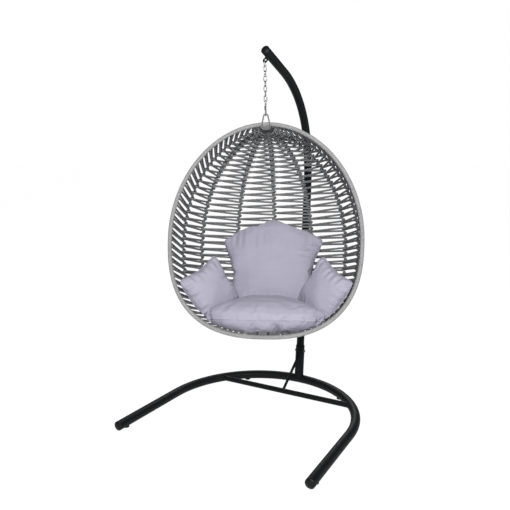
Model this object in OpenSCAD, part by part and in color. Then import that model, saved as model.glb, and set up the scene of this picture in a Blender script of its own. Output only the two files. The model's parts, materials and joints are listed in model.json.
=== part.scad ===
// Hanging egg chair: a rope basket with loose cushions, hung by a chain from a
// curved pole that stands in a U-shaped tube base.
// Millimetres, +Z up, the chair's front towards -Y. The origin is on the floor,
// at the middle of the stand's outline.

/* [Base] */
// Outside diameter of the U-shaped base tube
base_d = 50; // [44:1:60]
// Wall of the base tube
base_wall = 2; // [1.5:0.5:3]
// Radius of the base's arc, to the tube's centreline
base_r = 542; // [480:1:620]
// Length of each straight leg
leg_l = 483; // [400:1:560]
// Angle by which each leg opens outwards
leg_splay = 1.4; // [0:0.1:3]
// Height of the floor pads under the tube
pad_h = 4; // [3:1:10]
// Diameter of a floor pad
pad_d = 32; // [26:1:38]
// Distance of a front pad from the leg's end
pad_set_back = 60; // [40:1:120]
// Angle of a rear pad from the middle of the arc
pad_angle = 35; // [25:1:60]
// Height of the domes on the end caps
dome_h = 9; // [5:1:16]
// Length of the plugs that hold the end caps
plug_l = 24; // [15:1:40]
// Diameter of the cross tube
cross_d = 30; // [24:1:36]
// Wall of the cross tube
cross_wall = 1.5; // [1:0.5:2.5]
// Distance of the cross tube in front of the back of the arc
cross_set = 213; // [160:1:260]

/* [Pole] */
// Outside diameter of the pole
pole_d = 46; // [40:1:50]
// Wall of the pole
pole_wall = 2; // [1.5:0.5:3]
// Angle by which the pole leans back
pole_lean = 6.4; // [3:0.1:8]
// Straight length of the pole, from the base tube's centre
pole_straight = 1148; // [1050:1:1250]
// Radius of the pole's first, slow bend
bend1_r = 1200; // [900:10:1500]
// Angle of the first bend
bend1_a = 12.9; // [8:0.1:16]
// Radius of the second bend
bend2_r = 506; // [440:1:560]
// Angle of the second bend
bend2_a = 58.8; // [52:0.1:64]
// Straight length at the pole's upper end
tip_l = 221; // [180:1:260]
// Height up the pole at which its two lengths meet
split_at = 760; // [600:1:900]
// Length of the upper pole's spigot inside the lower pole
spigot_l = 90; // [60:1:130]
// Outside diameter of the socket that holds the pole
socket_d = 54; // [52:0.5:62]
// Length of the socket, from the base tube's centre
socket_l = 210; // [180:1:250]
// Height of the tapered lip at the top of the socket
lip_h = 5; // [3:1:10]
// Diameter of the brace rod
brace_d = 16; // [12:1:20]
// Height up the socket at which the brace joins it
brace_at = 162; // [130:1:175]
// Diameter of the bolts
bolt_d = 8; // [6:1:10]

/* [Chain] */
// Diameter of the eye's rod
eye_wire = 8; // [6:0.5:10]
// Inside diameter of the eye
eye_in = 13; // [12:0.5:18]
// Distance of the eye's centre below the pole's centreline
eye_drop = 46; // [42:1:56]
// Distance of the eye from the pole's end
eye_set = 22; // [18:1:40]
// Diameter of the chain's wire
link_wire = 4.5; // [4:0.1:5]
// Inside length of a chain link
link_pitch = 24.9; // [22:0.1:30]
// Inside width of a chain link
link_in = 10; // [9.5:0.1:13]
// Diameter of the quick link's wire
quick_wire = 6; // [5:0.5:7]
// Inside length of the quick link
quick_l = 69.5; // [55:0.5:85]
// Inside width of the quick link
quick_in = 16; // [14:0.5:20]
// Length of the quick link's nut
quick_nut_l = 20; // [14:1:26]
// Diameter of the hanging loop's wire
loop_wire = 7.5; // [6:0.5:9]
// Height of the hanging loop between its wire's centres
loop_h = 76; // [70:1:90]
// Angle by which each side of the hanging loop leans outwards
loop_a = 13; // [10:0.5:18]

/* [Basket] */
// Turn of the basket away from the stand's front
basket_yaw = 23; // [0:0.5:30]
// Lean of the rim, whose foot is in front of its top
rim_tilt = 16.9; // [12:0.5:20]
// Greatest half width of the rim, to its centreline
rim_w = 495; // [460:1:520]
// Height of the rim above its widest place
rim_up = 595; // [540:1:620]
// Height of the rim below its widest place
rim_down = 506; // [460:1:540]
// Roundness of the rim's upper half, 2 for an ellipse
rim_n_up = 1.96; // [1.85:0.01:2.2]
// Roundness of the rim's lower half
rim_n_down = 2.52; // [2.3:0.01:2.8]
// Diameter of the wrapped rim
rim_d = 22; // [18:0.5:26]
// Diameter of the steel hoop inside the rim's wrapping
hoop_d = 12; // [10:0.5:14]
// Depth of the basket as a share of its half width
depth_share = 1.03; // [0.95:0.01:1.1]
// Squareness of the basket's level section, 2 for an ellipse
section_n = 3.3; // [2.4:0.1:3.6]
// Distance of the ribs' crown behind the rim
crown_back = 28; // [24:1:36]
// Distance of the ribs' crown inside the rim's ends
crown_in = 18; // [16:1:24]
// Diameter of a rib
rib_d = 11; // [9:0.5:13]
// Radius of the plates where the ribs meet
hub_r = 34; // [30:1:44]
// Thickness of those plates
hub_h = 16; // [15:1:20]
// Diameter of the woven rope
rope_d = 11; // [8:0.5:12]
// Distance between pairs of strands along a rib
rope_pitch = 38; // [32:1:44]
// Share of that distance by which a pair opens
rope_open = 0.5; // [0.4:0.01:0.6]
// Unwoven length at the rim's top
weave_top = 105; // [95:1:140]
// Unwoven length at the rim's foot
weave_foot = 105; // [95:1:140]

/* [Cushions] */
// Thickness of the seat cushion at its crown
seat_t = 180; // [120:1:200]
// Half width of the seat cushion's seam
seat_w = 300; // [260:1:310]
// Width of the back pillow at its middle
back_w = 480; // [440:1:520]
// Height of the back pillow at its sides
back_h = 410; // [380:1:450]
// Thickness of the back pillow
back_t = 150; // [120:1:160]
// Rise of the back pillow's top edge at its middle
back_peak = 112; // [40:1:120]
// Length of an arm pillow's sides
arm_w = 262; // [240:1:280]
// Thickness of an arm pillow
arm_t = 115; // [90:1:130]

/* [Hidden] */
$fn = 64;

// Gap between pieces that rest on each other
seat_gap = 0.3;
// Clearance of a bolt in its hole, and of the pole in its socket, on the diameter
fit_gap = 0.4;
// Gap between a rope's corner and the rib that it is tied to
rope_gap = 1.2;

// Joints between bent and straight lengths: one runs on into the other by let_in,
// and is thinner by slim on each side
let_in = 1;
slim = 0.2;

// Colours
steel_black = [0.11, 0.12, 0.13];
cap_black = [0.06, 0.06, 0.07];
zinc = [0.72, 0.73, 0.74];
loop_grey = [0.42, 0.42, 0.43];
rim_grey = [0.66, 0.66, 0.67];
rope_grey = [0.45, 0.46, 0.47];
cloth = [0.68, 0.67, 0.75];

// ---- Stand: places ----

// Directions in the pole's plane, as [y, z], at an angle back from the vertical
function along(a) = [sin(a), cos(a)];
function front_of(a) = [-cos(a), sin(a)];
function yz(p) = [0, p.y, p.x == undef ? 0 : p.x];

base_z = pad_h + base_d / 2;
stand_front = base_r * (1 - sin(leg_splay)) + (leg_l + dome_h) * cos(leg_splay);
pole_bulge = pole_straight * sin(pole_lean) + bend1_r * (1 - cos(pole_lean)) + pole_d / 2;
base_y = (stand_front - pole_bulge) / 2;

lean1 = pole_lean;
lean2 = lean1 - bend1_a;
lean3 = lean2 - bend2_a;
pole_foot = [base_y, base_z];
bend1_from = pole_foot + pole_straight * along(lean1);
bend1_c = bend1_from + bend1_r * front_of(lean1);
bend2_from = bend1_c - bend1_r * front_of(lean2);
bend2_c = bend2_from + bend2_r * front_of(lean2);
tip_from = bend2_c - bend2_r * front_of(lean3);
tip_end = tip_from + tip_l * along(lean3);

cross_x = sqrt(base_r * base_r - (base_r - cross_set) * (base_r - cross_set));
cross_y = base_y - cross_set;

eye_r = (eye_in + eye_wire) / 2;
eye_c = tip_end - eye_set * along(lean3) + eye_drop * front_of(lean3);
hook_bar = eye_c + eye_r * front_of(lean3);
hang_y = hook_bar[0];

// ---- Chain: places ----

links = 8;
link_r = (link_in + link_wire) / 2;
link_step = link_pitch - seat_gap;
link1_top = hook_bar[1] + (eye_wire + link_wire) / 2 + seat_gap;
function link_top(k) = link1_top - (k - 1) * link_step;
function link_turn(k) = basket_yaw * (k - 1) / links + (k % 2 == 1 ? 90 : 0);
last_bar = link_top(links) - link_pitch - link_wire;
quick_top = last_bar + (link_wire + quick_wire) / 2 + seat_gap;
quick_foot = quick_top - quick_l - quick_wire;
quick_r = (quick_in + quick_wire) / 2;
loop_top = quick_foot + (quick_wire + loop_wire) / 2 + seat_gap;

// Hanging loop: a rounded triangle of three bends
loop_r1 = 11;
loop_r2 = 14;
loop_drop = loop_h - loop_r1 - loop_r2;
loop_x = (loop_drop * sin(loop_a) + loop_r1 - loop_r2) / cos(loop_a);
loop_leg = loop_drop * cos(loop_a) + loop_x * sin(loop_a);

// ---- Basket: places ----

// The rim's frame: origin at the top of its centreline, +Y out of its back,
// and -Z along the rim towards its foot
rim_back = (rim_d + loop_wire) / 2 + seat_gap;
rim_top_z = loop_top - loop_h + 25;

function power(x, n) = pow(max(x, 0), n);
// Half width of an egg profile at an angle from its top, 90 at its widest
function egg_w(a, n1, n2) = rim_w * power(sin(a), 2 / (a < 90 ? n1 : n2));
// Distance of that place below the widest one
function egg_s(a, up, down, n1, n2) =
    a < 90 ? -up * power(cos(a), 2 / n1) : down * power(-cos(a), 2 / n2);

rib_n_up = rim_n_up + 0.12;
rib_up = rim_up - crown_in;
rib_down = rim_down - crown_in;
ribs = 7;
// Angles of the ribs round the basket: 0 at the rim's left, 90 at the back
rib_angles = [0, 14.5, 41, 74.5, 90, 105.5, 139, 165.5, 180];
function side_of(t) = -sign(cos(t)) * power(abs(cos(t)), 2 / section_n);
function back_of(t) = depth_share * power(sin(t), 2 / section_n);

// Centreline of edge k at angle a: the rim for k = 0 and 8, a rib between them
function rim_at(a, sign_x) = [sign_x * egg_w(a, rim_n_up, rim_n_down), 0,
    -rim_up - egg_s(a, rim_up, rim_down, rim_n_up, rim_n_down)];
function rib_at(k, a) = let (w = egg_w(a, rib_n_up, rim_n_down))
    [w * side_of(rib_angles[k]), crown_back + w * back_of(rib_angles[k]),
     -rim_up - egg_s(a, rib_up, rib_down, rib_n_up, rim_n_down)];
function edge_at(k, a) = k == 0 ? rim_at(a, -1) : k == ribs + 1 ? rim_at(a, 1) : rib_at(k, a);
function edge_r(k) = (k == 0 || k == ribs + 1 ? rim_d : rib_d) / 2;

function unit(v) = v / norm(v);

// Angle at which rib k leaves the hub of its end
function rib_share(k) = norm([side_of(rib_angles[k]), back_of(rib_angles[k])]);
function hub_angle(k, n) = asin(power((hub_r + 2 * seat_gap) / rib_share(k) / rim_w, n / 2));

// ---- Sweeps ----

// Points of a ring of sides round p, square to t, with u as its first direction
function ring(p, t, u, r, sides, stretch = 1) = let (b = cross(t, u))
    [for (j = [0 : sides - 1]) let (a = 360 * j / sides)
        p + r * cos(a) * u + r * stretch * sin(a) * b];

function side_faces(rings, sides, closed) =
    [for (i = [0 : rings - (closed ? 1 : 2)], j = [0 : sides - 1])
        let (a = i * sides + j, b = i * sides + (j + 1) % sides,
             c = ((i + 1) % rings) * sides + (j + 1) % sides, d = ((i + 1) % rings) * sides + j)
        each [[a, d, c], [a, c, b]]];

function cap_faces(rings, sides) = let (e = (rings - 1) * sides)
    [for (j = [1 : sides - 2]) each [[0, j, j + 1], [e, e + j + 1, e + j]]];

// Ring i of a tube along points: square to the turn there, and stretched across it
function tube_ring(points, up, i, r, sides, closed) = let (n = len(points),
        before = points[closed ? (i + n - 1) % n : max(i - 1, 0)],
        after = points[closed ? (i + 1) % n : min(i + 1, n - 1)],
        here = points[i],
        d_in = norm(here - before) > 0 ? unit(here - before) : unit(after - here),
        d_out = norm(after - here) > 0 ? unit(after - here) : d_in,
        t = unit(d_in + d_out),
        u = unit(up - (up * t) * t))
    ring(here, t, u, r, sides, min(1.5, 1 / (d_in * t)));

module tube_along(points, ups, r, sides, closed = false) {
    n = len(points);
    polyhedron([for (i = [0 : n - 1]) each tube_ring(points, ups[i], i, r, sides, closed)],
        concat(side_faces(n, sides, closed), closed ? [] : cap_faces(n, sides)), convexity = 10);
}

// Rings of all points but the first and the last, which only give directions
function inner_rings(points, up, r, sides) = [for (i = [1 : len(points) - 2])
    each tube_ring(points, up, i, r, sides, false)];

// ---- Stand: modules ----

module ring_2d(d, wall) {
    difference() {
        circle(d = d);
        circle(d = d - 2 * wall);
    }
}

module hollow(d, wall, h) {
    difference() {
        cylinder(d = d, h = h);
        translate([0, 0, -1]) cylinder(d = d - 2 * wall, h = h + 2);
    }
}

module at_leg(side) {
    translate([0, base_y - base_r, base_z])
        mirror([side < 0 ? 1 : 0, 0, 0])
            rotate([0, 0, leg_splay]) translate([base_r, 0, 0]) rotate([90, 0, 0]) children();
}

module base_bend(d, wall) {
    translate([0, base_y - base_r, base_z]) rotate([0, 0, leg_splay])
        rotate_extrude(angle = 180 - 2 * leg_splay, $fn = 180) translate([base_r, 0])
            if (wall > 0) ring_2d(d, wall); else circle(d = d);
}

module base_tube() {
    color(steel_black) {
        base_bend(base_d, base_wall);
        for (side = [-1, 1]) at_leg(side) hollow(base_d, base_wall, leg_l);
    }
}

// A domed cap on a tube's end, with the plug that holds it
module domed_cap(d, wall) {
    dome_r = (d * d / 4 + dome_h * dome_h) / (2 * dome_h);
    intersection() {
        cylinder(d = d, h = dome_h);
        translate([0, 0, dome_h - dome_r]) sphere(r = dome_r);
    }
    translate([0, 0, -plug_l]) cylinder(d = d - 2 * wall - fit_gap, h = plug_l);
}

module foot_cap(side) {
    color(cap_black) at_leg(side) translate([0, 0, leg_l]) domed_cap(base_d, base_wall);
}

module pad_blank() {
    cylinder(d = pad_d, h = pad_h + base_d / 5);
}

module floor_pads() {
    color(cap_black) {
        for (side = [-1, 1]) difference() {
            at_leg(side) translate([0, -base_z, leg_l - pad_set_back])
                rotate([-90, 0, 0]) pad_blank();
            at_leg(side) cylinder(d = base_d, h = leg_l);
        }
        for (a = [90 - pad_angle, 90 + pad_angle]) difference() {
            translate([base_r * cos(a), base_y - base_r + base_r * sin(a), 0]) pad_blank();
            base_bend(base_d, 0);
        }
    }
}

module cross_tube() {
    color(steel_black) difference() {
        translate([-cross_x, cross_y, base_z]) rotate([0, 90, 0])
            hollow(cross_d, cross_wall, 2 * cross_x);
        base_bend(base_d, 0);
    }
}

module at_pole(h) {
    translate([0, base_y, base_z]) rotate([-pole_lean, 0, 0]) translate([0, 0, h]) children();
}

pole_stop = base_d / 2 + 10;
socket_bolt_at = socket_l - 35;
pole_bolt_at = split_at - spigot_l / 2;

module bolt_hole(h) {
    at_pole(h) rotate([0, 90, 0]) translate([0, 0, -socket_d])
        cylinder(d = bolt_d + fit_gap, h = 2 * socket_d);
}

module pole_socket() {
    bore = pole_d + fit_gap;
    color(steel_black) difference() {
        union() {
            at_pole(base_d / 4) cylinder(d = socket_d, h = socket_l - base_d / 4 - lip_h);
            at_pole(socket_l - lip_h) cylinder(d1 = socket_d, d2 = (socket_d + bore) / 2, h = lip_h);
        }
        at_pole(0) cylinder(d = bore, h = socket_l + 1);
        base_bend(base_d, 0);
        bolt_hole(socket_bolt_at);
    }
}

brace_from = [cross_y, base_z];
brace_to = pole_foot + brace_at * along(pole_lean);
brace_v = brace_to - brace_from;

module socket_brace() {
    color(steel_black) difference() {
        translate([0, brace_from[0], brace_from[1]])
            rotate([-atan2(brace_v[0], brace_v[1]), 0, 0]) cylinder(d = brace_d, h = norm(brace_v));
        translate([-cross_x, cross_y, base_z]) rotate([0, 90, 0])
            cylinder(d = cross_d, h = 2 * cross_x);
        at_pole(0) cylinder(d = socket_d, h = socket_l);
    }
}

module lower_pole() {
    color(steel_black) difference() {
        at_pole(pole_stop) hollow(pole_d, pole_wall, split_at - pole_stop);
        bolt_hole(socket_bolt_at);
        bolt_hole(pole_bolt_at);
    }
}

// The pole's bends turn forwards: each starts at the frame's origin, along +Z, and
// what follows it stands in the frame at its end. A bend may run on by extra at both
// ends into its neighbours' walls, and its own wall is then thinner by slim
module pole_turn(r, turn, extra = 0, slim = 0) {
    more = extra / r * 180 / PI;
    translate([0, -r, 0]) rotate([90, 0, 90]) rotate([0, 0, -more])
        rotate_extrude(angle = turn + 2 * more, $fn = 180) translate([r, 0])
            ring_2d(pole_d - 2 * slim, pole_wall - 2 * slim);
}

module after_turn(r, turn) {
    translate([0, -r, 0]) rotate([turn, 0, 0]) translate([0, r, 0]) children();
}

module upper_pole() {
    neck_d = pole_d - 2 * pole_wall - fit_gap;
    step_h = 6;
    color(steel_black) {
        difference() {
            at_pole(0) {
                translate([0, 0, split_at - spigot_l]) hollow(neck_d, pole_wall, spigot_l + step_h / 2);
                translate([0, 0, split_at]) hollow(pole_d, (pole_d - neck_d) / 2 + pole_wall / 2, step_h);
                translate([0, 0, split_at + step_h])
                    hollow(pole_d, pole_wall, pole_straight - split_at - step_h);
            }
            bolt_hole(pole_bolt_at);
        }
        at_pole(pole_straight) {
            pole_turn(bend1_r, bend1_a, let_in, slim);
            after_turn(bend1_r, bend1_a) {
                pole_turn(bend2_r, bend2_a);
                after_turn(bend2_r, bend2_a) translate([0, 0, -let_in])
                    hollow(pole_d - 2 * slim, pole_wall - 2 * slim, tip_l + let_in);
            }
        }
    }
}

module at_tip(h) {
    at_pole(pole_straight) after_turn(bend1_r, bend1_a) after_turn(bend2_r, bend2_a)
        translate([0, 0, tip_l + h]) children();
}

module pole_cap() {
    color(cap_black) at_tip(0) domed_cap(pole_d, pole_wall);
}

// The eye under the pole's end: a ring on a short collar that is welded to the pole
module hook_eye() {
    collar_d = eye_wire + 4;
    color(steel_black) at_tip(-eye_set) {
        translate([0, -eye_drop, 0]) rotate_extrude() translate([eye_r, 0]) circle(d = eye_wire);
        difference() {
            translate([0, -eye_drop + eye_r, 0]) rotate([-90, 0, 0])
                cylinder(d = collar_d, h = eye_drop - eye_r);
            translate([0, 0, -tip_l]) cylinder(d = pole_d, h = 2 * tip_l);
        }
    }
}

head_h = 0.65 * bolt_d;
module bolt(grip) {
    across = 1.6 * bolt_d / cos(30);
    translate([0, 0, -grip / 2 - head_h]) cylinder(d = across, h = head_h, $fn = 6);
    translate([0, 0, -grip / 2]) cylinder(d = bolt_d, h = grip + head_h + 3);
}

module pole_bolts() {
    color(zinc) {
        at_pole(socket_bolt_at) rotate([0, 90, 0]) bolt(socket_d);
        at_pole(pole_bolt_at) rotate([0, 90, 0]) bolt(pole_d);
    }
}

module nut(grip) {
    across = 1.6 * bolt_d / cos(30);
    translate([0, 0, grip / 2]) difference() {
        cylinder(d = across, h = head_h, $fn = 6);
        translate([0, 0, -1]) cylinder(d = bolt_d + 0.2, h = head_h + 2);
    }
}

module pole_nuts() {
    color(zinc) {
        at_pole(socket_bolt_at) rotate([0, 90, 0]) nut(socket_d);
        at_pole(pole_bolt_at) rotate([0, 90, 0]) nut(pole_d);
    }
}

// ---- Chain: modules ----

// A closed link in the XZ plane: bends of radius r joined by straight sides
module oval_link(r, wire, span) {
    straight = span - 2 * r;
    for (end = [0, 1]) translate([0, 0, end ? r : span - r])
        mirror([0, 0, end]) rotate([90, 0, 0])
            rotate_extrude(angle = 180) translate([r, 0]) circle(d = wire);
    for (side = [-1, 1]) translate([side * r, 0, r]) cylinder(d = wire, h = straight);
}

module chain_link(k) {
    span = link_pitch + link_wire;
    color(zinc) translate([0, hang_y, link_top(k) - span]) rotate([0, 0, link_turn(k)])
        oval_link(link_r, link_wire, span);
}

module at_basket(z) {
    translate([0, hang_y, z]) rotate([0, 0, basket_yaw]) children();
}

module quick_link() {
    color(zinc) at_basket(quick_foot) rotate([0, 0, 90])
        oval_link(quick_r, quick_wire, quick_l + quick_wire);
}

module quick_link_nut() {
    color(zinc) at_basket((quick_top + quick_foot - quick_nut_l) / 2) rotate([0, 0, 90])
        translate([-quick_r, 0, 0]) difference() {
            cylinder(d = 1.8 * quick_wire, h = quick_nut_l, $fn = 6);
            translate([0, 0, -1]) cylinder(d = quick_wire + 0.2, h = quick_nut_l + 2);
        }
}

module rod_bend(r, turn) {
    rotate([90, 0, 0]) rotate_extrude(angle = turn) translate([r, 0]) circle(d = loop_wire);
}

module hanging_loop() {
    color(loop_grey) at_basket(loop_top - loop_r1) {
        rotate([0, -loop_a, 0]) rod_bend(loop_r1, 180 - 2 * loop_a);
        for (side = [0, 1]) mirror([side, 0, 0]) rotate([0, -loop_a, 0]) translate([loop_r1, 0, -loop_leg]) {
            translate([0, 0, -let_in / 2])
                cylinder(d = loop_wire - 2 * slim, h = loop_leg + let_in);
            translate([-loop_r2, 0, 0]) mirror([0, 0, 1]) rod_bend(loop_r2, 90 + loop_a);
        }
        translate([-loop_x - let_in / 2, 0, -loop_drop - loop_r2]) rotate([0, 90, 0])
            cylinder(d = loop_wire - 2 * slim, h = 2 * loop_x + let_in);
    }
}

// ---- Basket: modules ----

module at_rim() {
    at_basket(rim_top_z) translate([0, rim_back, 0]) rotate([-rim_tilt, 0, 0]) children();
}

// The hoop and its wrapping share the places of their rings, from the top to the foot
rim_steps = 28;
rim_sides = 8;
function rim_points(side) = [for (i = [0 : rim_steps - 1]) rim_at(180 * i / (rim_steps - 1), side)];

module rim_hoop() {
    right = rim_points(1);
    left = rim_points(-1);
    points = concat(right, [for (i = [rim_steps - 2 : -1 : 1]) left[i]]);
    color(steel_black) at_rim()
        tube_along(points, [for (p = points) [0, 1, 0]], hoop_d / 2, rim_sides, true);
}

// A hollow length of wrapping down one side of the hoop: its ends meet its
// fellow's behind the hanging loop and at the foot
module rim_wrap(side) {
    line = rim_points(side);
    across = rim_points(-side);
    points = concat([across[1]], [for (i = [0 : rim_steps - 1]) i == 0 || i == rim_steps - 1
        ? line[i] + [side * seat_gap / 2, 0, 0] : line[i]], [across[rim_steps - 2]]);
    outer = inner_rings(points, [0, 1, 0], rim_d / 2, rim_sides);
    bore = inner_rings(points, [0, 1, 0], hoop_d / 2 + 2 * seat_gap, rim_sides);
    n = len(outer);
    last = n - rim_sides;
    ends = [for (j = [0 : rim_sides - 1]) let (k = (j + 1) % rim_sides)
        each [[j, k, n + k], [j, n + k, n + j],
              [last + j, n + last + k, last + k], [last + j, n + last + j, n + last + k]]];
    skin = side_faces(rim_steps, rim_sides, false);
    color(rim_grey) at_rim() polyhedron(concat(outer, bore),
        concat(skin, [for (f = skin) [f[0] + n, f[2] + n, f[1] + n]], ends), convexity = 10);
}

// The plate behind the rim's end at height z, where the ribs meet; a groove in it
// takes the rim, which bends there with radius bend
module hub(z, inwards, bend) {
    color(rim_grey) at_rim() difference() {
        translate([0, crown_back, z + inwards * crown_in - hub_h / 2]) cylinder(r = hub_r, h = hub_h);
        translate([0, 0, z + inwards * bend]) rotate([90, 0, 0])
            rotate_extrude($fn = 360) translate([bend, 0]) circle(d = rim_d + 3 * seat_gap);
        translate([-2 * hub_r, -2 * hub_r, z - 2 * hub_r]) cube([4 * hub_r, 2 * hub_r + 2, 4 * hub_r]);
    }
}

module top_hub() {
    hub(0, -1, rim_w * rim_w / rim_up);
}

module bottom_hub() {
    hub(-rim_up - rim_down, 1, 3 * rim_w);
}

rib_rings = 22;
module rib(k) {
    from = hub_angle(k, rib_n_up);
    to = 180 - hub_angle(k, rim_n_down);
    points = [for (i = [0 : rib_rings - 1]) rib_at(k, from + (to - from) * i / (rib_rings - 1))];
    flat = [-back_of(rib_angles[k]), side_of(rib_angles[k]), 0];
    color(rope_grey) at_rim()
        tube_along(points, [for (p = points) unit(flat)], rib_d / 2, 6);
}

// Lengths along a middle rib at steps of angle, from its crown
table_step = 2;
rib_line = [for (a = [0 : table_step : 180]) rib_at(2, a)];
rib_lengths = [for (i = 0, l = 0; i < len(rib_line);
    l = l + (i + 1 < len(rib_line) ? norm(rib_line[i + 1] - rib_line[i]) : 0), i = i + 1) l];
length_to_angle = [for (i = [0 : len(rib_line) - 1]) [rib_lengths[i], i * table_step]];
function angle_at(l) = lookup(l, length_to_angle);
rib_length = rib_lengths[len(rib_lengths) - 1];
pairs = floor((rib_length - weave_top - weave_foot) / rope_pitch);

// A strand's corner beside edge k, where the strand comes from edge j
function beside(k, j, a) = let (here = edge_at(k, a), there = edge_at(j, a))
    here + (edge_r(k) + rope_d / 2 + rope_gap) * unit(there - here);

// Corners of the rope between edges k and k + 1: pairs of strands that meet
// beside the first edge and open towards the second
function weave_corners(k) = let (meet = k, part = k + 1,
        close = rope_d + 1, open = rope_open * rope_pitch)
    [for (i = [0 : pairs - 1]) let (mid = weave_top + (i + 0.5) * rope_pitch)
        each [[part, meet, mid - open / 2], [meet, part, mid - close / 2],
              [meet, part, mid + close / 2], [part, meet, mid + open / 2]]];

module weave(k) {
    corners = weave_corners(k);
    points = [for (c = corners) beside(c[0], c[1], angle_at(c[2]))];
    ups = [for (c = corners) let (a = angle_at(c[2]), low = min(c[0], c[1]))
        unit(cross(edge_at(low + 1, a) - edge_at(low, a), edge_at(low, a + 1) - edge_at(low, a - 1)))];
    color(rope_grey) at_rim() tube_along(points, ups, rope_d / 2, 4);
}

// ---- Cushions ----

// Gap between one cushion and another, and between a cushion and the ropes
cushion_gap = 0.5;
wall_gap = rib_d / 2 + 3;

// A closed form of rings, each a list of points
module ring_solid(rings) {
    sides = len(rings[0]);
    n = len(rings);
    polyhedron([for (r = rings) each r],
        concat(side_faces(n, sides, false), cap_faces(n, sides)), convexity = 6);
}

// The space inside the ropes, open at the front: one corner at each rib
bowl_axis = 170;
bowl_front = -80;
function bowl_corner(k, a) = let (p = edge_at(k, a))
    k == 0 || k == ribs + 1 ? [p.x - sign(p.x) * (edge_r(k) + wall_gap), bowl_front, p.z]
    : p + wall_gap * unit([0, bowl_axis, min(p.z + 120, -rim_up)] - p);
module bowl_space() {
    ring_solid([for (a = [70 : 7 : 175]) [for (k = [0 : ribs + 1]) bowl_corner(k, a)]]);
}

cushion_sides = 24;
function rounded(a, n) = sign(a) * power(abs(a), n);

// The seat cushion: its lower side follows the bowl, its upper side is domed
seat_z = -rim_up - rim_down + crown_in + hub_h / 2 + seat_gap;
seat_seam = 0.34;
seat_levels = [0, 0.08, 0.18, 0.3, 0.46, 0.62, 0.77, 0.9, 0.97];
function bowl_w(z) = rim_w * power(1 - power((-rim_up - z) / rib_down, rim_n_down), 1 / rim_n_down);
function seat_ring(l, grow) = let (z = seat_z + l * seat_t,
        high = max(0, (l - seat_seam) / (1 - seat_seam)), low = max(0, 1 - l / seat_seam),
        dome = power(1 - power(high, 1.8), 1 / 1.8), under = 1 - 0.25 * power(low, 1.6),
        w = min(seat_w, bowl_w(z) - wall_gap - rope_d / 2) * (l < seat_seam ? under : dome),
        front = -16 + 38 * power(low, 1.6) + 190 * (1 - dome),
        back = 250 + 120 * power(1 - power(abs(l - 0.55) / 0.56, 2), 0.5) * min(1, 1.15 * dome))
    [for (j = [0 : cushion_sides - 1]) let (a = 360 * j / cushion_sides)
        [(w + grow) * rounded(cos(a), 0.8),
         (front + back) / 2 + ((back - front) / 2 + grow) * rounded(sin(a), 0.8),
         z + grow * (l > seat_seam ? l : l - 1)]];
module seat_form(grow = 0) {
    ring_solid([for (l = seat_levels) seat_ring(l, grow)]);
}

// A pillow in the XY plane, its crown along Z: its corners stand out, its sides
// draw in between them, it narrows by taper and its top edge rises by peak
crown_rings = [0.15, 0.5, 0.8, 0.95, 1, 0.95, 0.8, 0.5, 0.15];
function pillow_point(w, h, taper, peak, pull, a) =
    let (x = rounded(cos(a), 0.28), y = rounded(sin(a), 0.28))
    [w / 2 * x * (1 - pull * (1 - y * y)) * (1 + taper * y),
     h / 2 * y * (1 - pull * (1 - x * x)) + peak * (1 - power(abs(x), 1.5)) * max(0, y)];
module pillow(w, h, t, taper = 0, peak = 0, pull = 0.07) {
    middle = (len(crown_rings) - 1) / 2;
    ring_solid([for (i = [0 : len(crown_rings) - 1])
        let (s = crown_rings[i], up = sign(i - middle) * t / 2 * power(1 - power(s, 2.6), 0.6))
        [for (j = [0 : cushion_sides - 1])
            let (e = pillow_point(w, h, taper, peak, pull, 360 * j / cushion_sides))
            [s * e.x, s * e.y, up]]]);
}

back_c = [0, 412, -750];
back_lean = 10;
module back_form(grow = 0) {
    translate(back_c) rotate([90 - back_lean, 0, 0])
        pillow(back_w + 2 * grow, back_h + 2 * grow, back_t + 2 * grow, 0.13, back_peak);
}

arm_c = [309, 160, -862];
arm_up = [-0.085, 0.2, 0.97];
arm_face = [-0.611, -0.784, 0.108];
module arm_form() {
    z = unit(arm_face);
    x = unit(cross(arm_up, z));
    y = cross(z, x);
    multmatrix([[x.x, y.x, z.x, arm_c.x], [x.y, y.y, z.y, arm_c.y], [x.z, y.z, z.z, arm_c.z]])
        rotate([0, 0, 45]) pillow(arm_w, arm_w, arm_t, 0, 0, 0.06);
}

module seat_cushion() {
    color(cloth) at_rim() intersection() {
        seat_form();
        bowl_space();
    }
}

module back_pillow() {
    color(cloth) at_rim() difference() {
        intersection() {
            back_form();
            bowl_space();
        }
        seat_form(cushion_gap);
    }
}

module arm_pillow(side) {
    color(cloth) at_rim() mirror([side < 0 ? 1 : 0, 0, 0]) difference() {
        intersection() {
            arm_form();
            bowl_space();
        }
        seat_form(cushion_gap);
        back_form(cushion_gap);
    }
}

base_tube();
foot_cap(-1);  // foot_cap_left
foot_cap(1);  // foot_cap_right
floor_pads();
cross_tube();
pole_socket();
socket_brace();
lower_pole();
upper_pole();
pole_cap();
hook_eye();
pole_bolts();
pole_nuts();
chain_link(1);  // chain_link_1
chain_link(2);  // chain_link_2
chain_link(3);  // chain_link_3
chain_link(4);  // chain_link_4
chain_link(5);  // chain_link_5
chain_link(6);  // chain_link_6
chain_link(7);  // chain_link_7
chain_link(8);  // chain_link_8
quick_link();
quick_link_nut();
hanging_loop();
rim_hoop();
rim_wrap(-1);  // rim_wrap_left
rim_wrap(1);  // rim_wrap_right
top_hub();
bottom_hub();
rib(1);  // rib_1
rib(2);  // rib_2
rib(3);  // rib_3
rib(4);  // rib_4
rib(5);  // rib_5
rib(6);  // rib_6
rib(7);  // rib_7
weave(0);  // weave_1
weave(1);  // weave_2
weave(2);  // weave_3
weave(3);  // weave_4
weave(4);  // weave_5
weave(5);  // weave_6
weave(6);  // weave_7
weave(7);  // weave_8
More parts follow.
